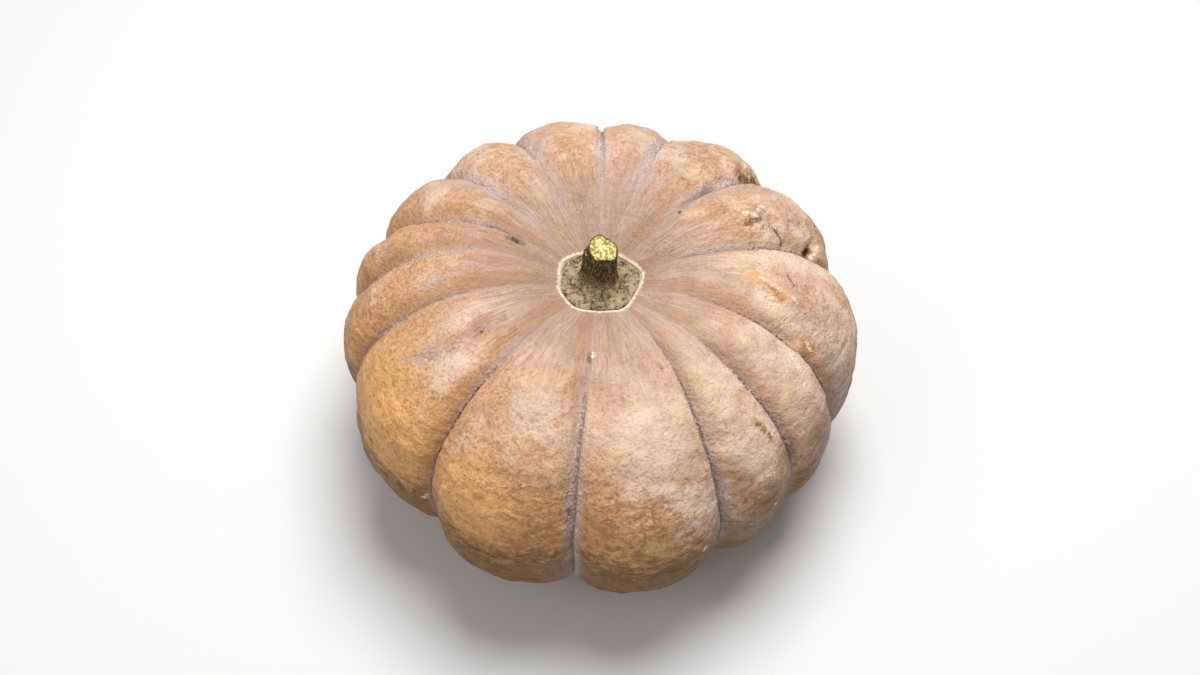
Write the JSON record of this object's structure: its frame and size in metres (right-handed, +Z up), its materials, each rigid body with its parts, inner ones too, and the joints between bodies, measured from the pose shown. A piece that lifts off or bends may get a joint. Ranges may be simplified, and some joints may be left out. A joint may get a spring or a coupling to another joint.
{
  "type": "muscat pumpkin",
  "caption": "Whole ribbed muscat pumpkin, a flattened globe with unequal ribs, narrow seams and a short cut stalk on a corky foot; a free-standing harvest or market fruit.",
  "frame": {"origin": "middle of the base of the box round the whole pumpkin, on the plane that it rests on", "axes": "+Z up along the core towards the stalk; the side seen from the front faces -Y; +X to the right of it"},
  "size_m": [0.3364, 0.3332, 0.1955],
  "materials": {
    "rind": "semi-matt waxy rind, orange-tan under a pale pinkish bloom",
    "stalk_cork": "rough dry cork, dark brown, with a pale yellow cut end"
  },
  "bodies": {
    "root": {"fruit": "rind", "stalk": "stalk_cork"}
  },
  "joints": []
}
